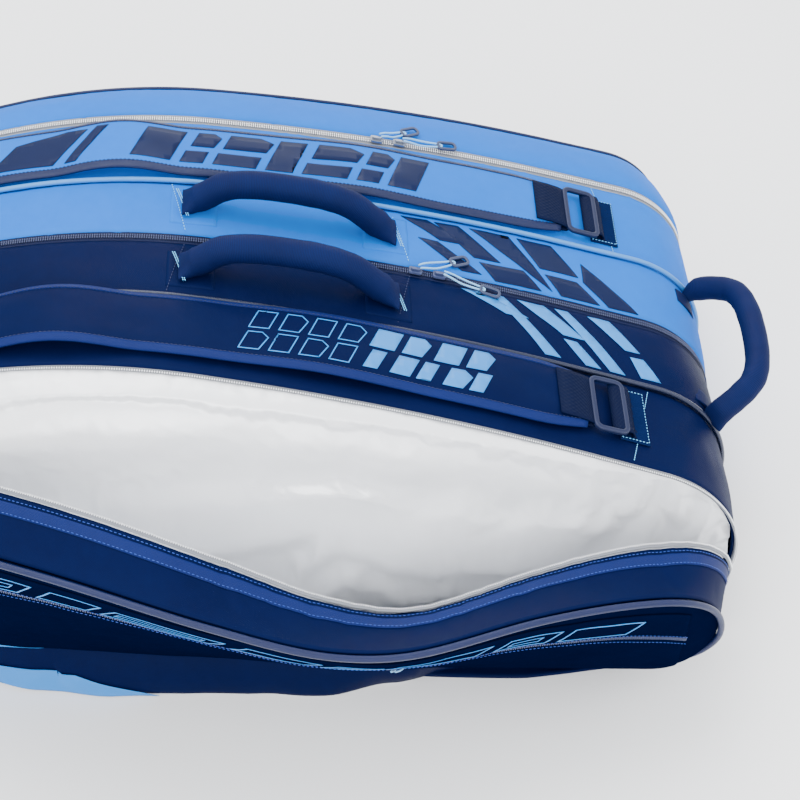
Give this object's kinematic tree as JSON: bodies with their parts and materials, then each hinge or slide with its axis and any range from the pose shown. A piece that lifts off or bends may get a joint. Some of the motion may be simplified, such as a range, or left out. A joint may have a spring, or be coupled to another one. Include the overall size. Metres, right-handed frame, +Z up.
{
  "type": "racket tournament bag",
  "caption": "Soft racket tournament bag with zipped compartments side by side, opened front flap with foil lining, carry handles, end handle and padded shoulder straps.",
  "frame": {"origin": "on the base, under the middle of the bag's length and of its centre zip", "axes": "+X along the bag's length towards the end handle, +Y towards the light rear compartment, +Z up"},
  "size_m": [0.8151, 0.6423, 0.3582],
  "materials": {
    "light_blue_fabric": "woven polyester, slight sheen",
    "navy_fabric": "woven polyester, slight sheen",
    "base_fabric": "coated polyester",
    "silver_zip": "coil zip on woven tape",
    "navy_zip": "coil zip on woven tape",
    "foil": "metallised lining film",
    "light_strap": "coated padded strap",
    "navy_strap": "woven padded strap",
    "buckle_plastic": "satin moulded",
    "handle_webbing": "ribbed webbing",
    "piping": "coated piping",
    "hook_and_loop": "looped pile",
    "pull_cord": "braided cord",
    "pull_tab": "moulded rubber",
    "slider_metal": "painted zinc"
  },
  "bodies": {
    "bag": {"base_panel": "base_fabric", "carry_handle_patches": "light_blue_fabric", "centre_front_gusset": "navy_fabric", "centre_pipings": "piping", "centre_rear_gusset": "light_blue_fabric", "centre_zip": "navy_zip", "end_handle_tabs": "handle_webbing", "foil_lining": "foil", "front_base_tray": "navy_fabric", "front_divider": "navy_fabric", "front_inner_gusset": "navy_fabric", "front_zip_upper": "silver_zip", "rear_divider": "light_blue_fabric", "rear_edge_piping": "piping", "rear_inner_gusset": "light_blue_fabric", "rear_outer_gusset": "light_blue_fabric", "rear_outer_panel": "light_blue_fabric", "rear_pocket": "light_blue_fabric", "rear_pocket_flap": "light_blue_fabric", "rear_pocket_zip": "navy_zip", "rear_zip": "silver_zip", "strap_anchors": "navy_fabric", "strap_patches": "hook_and_loop"},
    "front_flap": {"front_outer_panel": "navy_fabric", "front_flap_lining": "foil", "front_pocket": "navy_fabric", "front_pocket_top": "navy_fabric", "front_pocket_zip": "navy_zip", "front_outer_gusset": "navy_fabric", "front_zip_lower": "silver_zip", "front_edge_piping": "piping"},
    "rear_strap": {"rear_strap": "light_strap"},
    "rear_buckle": {"rear_buckle": "buckle_plastic"},
    "rear_carry_handle": {"rear_carry_handle": "handle_webbing"},
    "front_strap": {"front_strap": "navy_strap"},
    "front_buckle": {"front_buckle": "buckle_plastic"},
    "front_carry_handle": {"front_carry_handle": "handle_webbing"},
    "end_handle": {"end_handle": "handle_webbing"},
    "rear_zip_left_slider": {"rear_zip_left_slider": "slider_metal"},
    "rear_zip_left_pull": {"rear_zip_left_cord": "pull_cord", "rear_zip_left_tab": "pull_tab"},
    "rear_zip_right_slider": {"rear_zip_right_slider": "slider_metal"},
    "rear_zip_right_pull": {"rear_zip_right_cord": "pull_cord", "rear_zip_right_tab": "pull_tab"},
    "centre_zip_left_slider": {"centre_zip_left_slider": "slider_metal"},
    "centre_zip_left_pull": {"centre_zip_left_cord": "pull_cord", "centre_zip_left_tab": "pull_tab"},
    "centre_zip_right_slider": {"centre_zip_right_slider": "slider_metal"},
    "centre_zip_right_pull": {"centre_zip_right_cord": "pull_cord", "centre_zip_right_tab": "pull_tab"},
    "front_zip_left_slider": {"front_zip_left_slider": "slider_metal"},
    "front_zip_left_pull": {"front_zip_left_cord": "pull_cord", "front_zip_left_tab": "pull_tab"},
    "front_zip_right_slider": {"front_zip_right_slider": "slider_metal"},
    "front_zip_right_pull": {"front_zip_right_cord": "pull_cord", "front_zip_right_tab": "pull_tab"},
    "front_pocket_zip_slider": {"front_pocket_zip_slider": "slider_metal"},
    "front_pocket_zip_pull": {"front_pocket_zip_cord": "pull_cord", "front_pocket_zip_tab": "pull_tab"}
  },
  "joints": [
    {"name": "front_flap_open", "type": "hinge", "parent": "bag", "child": "front_flap", "pos_m": [0, -0.23, 0.045], "axis": [0.997, -0.0774, 0], "range_deg": [-6, 14]},
    {"name": "rear_carry_handle_tilt", "type": "hinge", "parent": "bag", "child": "rear_carry_handle", "pos_m": [0, 0.04, 0.31735], "axis": [0.975, 0, -0.222], "range_deg": [-65, 65]},
    {"name": "front_carry_handle_tilt", "type": "hinge", "parent": "bag", "child": "front_carry_handle", "pos_m": [0, -0.04, 0.31735], "axis": [0.975, 0, -0.222], "range_deg": [-65, 65]},
    {"name": "end_handle_tilt", "type": "hinge", "parent": "bag", "child": "end_handle", "pos_m": [0.381, 0, 0.171], "axis": [0, 1, 0], "range_deg": [-35, 60]},
    {"name": "rear_strap_lift", "type": "hinge", "parent": "bag", "child": "rear_strap", "pos_m": [-0.3, 0.10065, 0.31244], "axis": [0.0378, -0.9993, 0], "range_deg": [0, 20]},
    {"name": "front_strap_lift", "type": "hinge", "parent": "bag", "child": "front_strap", "pos_m": [-0.3, -0.10065, 0.31244], "axis": [-0.0378, -0.9993, 0], "range_deg": [0, 20]},
    {"name": "rear_buckle_tilt", "type": "hinge", "parent": "rear_strap", "child": "rear_buckle", "pos_m": [0.25504, 0.12206, 0.23633], "axis": [0, -1, 0], "range_deg": [0, 60]},
    {"name": "front_buckle_tilt", "type": "hinge", "parent": "front_strap", "child": "front_buckle", "pos_m": [0.25504, -0.12206, 0.23633], "axis": [0, -1, 0], "range_deg": [0, 60]},
    {"name": "rear_zip_left_slide", "type": "hinge", "parent": "bag", "child": "rear_zip_left_slider", "pos_m": [-0.44272, 0.13948, -1.64606], "axis": [-0.0553, 0.9985, 0], "range_deg": [-4.5, 0]},
    {"name": "rear_zip_right_slide", "type": "hinge", "parent": "bag", "child": "rear_zip_right_slider", "pos_m": [-0.44272, 0.13948, -1.64606], "axis": [-0.0553, 0.9985, 0], "range_deg": [0, 3]},
    {"name": "centre_zip_left_slide", "type": "hinge", "parent": "bag", "child": "centre_zip_left_slider", "pos_m": [-0.44272, 0, -1.64606], "axis": [0, 1, 0], "range_deg": [-4.5, 0]},
    {"name": "centre_zip_right_slide", "type": "hinge", "parent": "bag", "child": "centre_zip_right_slider", "pos_m": [-0.44272, 0, -1.64606], "axis": [0, 1, 0], "range_deg": [0, 3]},
    {"name": "front_zip_left_slide", "type": "hinge", "parent": "bag", "child": "front_zip_left_slider", "pos_m": [-0.27, -0.14678, 0.118], "axis": [0.0545, 0.9985, 0], "range_deg": [0, 25]},
    {"name": "front_zip_right_slide", "type": "hinge", "parent": "bag", "child": "front_zip_right_slider", "pos_m": [0.3, -0.17786, 0.10239], "axis": [0.0545, 0.9985, 0], "range_deg": [-25, 0]},
    {"name": "front_pocket_zip_slide", "type": "slide", "parent": "front_flap", "child": "front_pocket_zip_slider", "axis": [0.9771, 0.1192, -0.1762], "range_m": [-0.038, 0.018]},
    {"name": "rear_zip_left_pull_swing", "type": "hinge", "parent": "rear_zip_left_slider", "child": "rear_zip_left_pull", "pos_m": [0.08305, 0.16983, 0.2896], "axis": [0.468, -0.8746, -0.1265], "range_deg": [0, 110]},
    {"name": "rear_zip_right_pull_swing", "type": "hinge", "parent": "rear_zip_right_slider", "child": "rear_zip_right_pull", "pos_m": [0.10443, 0.17001, 0.28367], "axis": [0.1506, -0.9877, -0.0425], "range_deg": [0, 110]},
    {"name": "centre_zip_left_pull_swing", "type": "hinge", "parent": "centre_zip_left_slider", "child": "centre_zip_left_pull", "pos_m": [0.11217, 0.00136, 0.28146], "axis": [0.4364, -0.891, -0.125], "range_deg": [0, 110]},
    {"name": "centre_zip_right_pull_swing", "type": "hinge", "parent": "centre_zip_right_slider", "child": "centre_zip_right_pull", "pos_m": [0.13347, -0.00062, 0.2752], "axis": [-0.1992, -0.9782, 0.0594], "range_deg": [0, 110]},
    {"name": "front_zip_left_pull_swing", "type": "hinge", "parent": "front_zip_left_slider", "child": "front_zip_left_pull", "pos_m": [-0.37405, -0.14128, 0.05656], "axis": [0, 1, 0], "range_deg": [-15, 80]},
    {"name": "front_zip_right_pull_swing", "type": "hinge", "parent": "front_zip_right_slider", "child": "front_zip_right_pull", "pos_m": [0.37847, -0.18196, 0.0566], "axis": [0, -1, 0], "range_deg": [-15, 80]},
    {"name": "front_pocket_zip_pull_swing", "type": "hinge", "parent": "front_pocket_zip_slider", "child": "front_pocket_zip_pull", "pos_m": [0.07734, -0.34088, 0.16206], "axis": [-0.8852, 0.2818, -0.3703], "range_deg": [0, 110]}
  ]
}
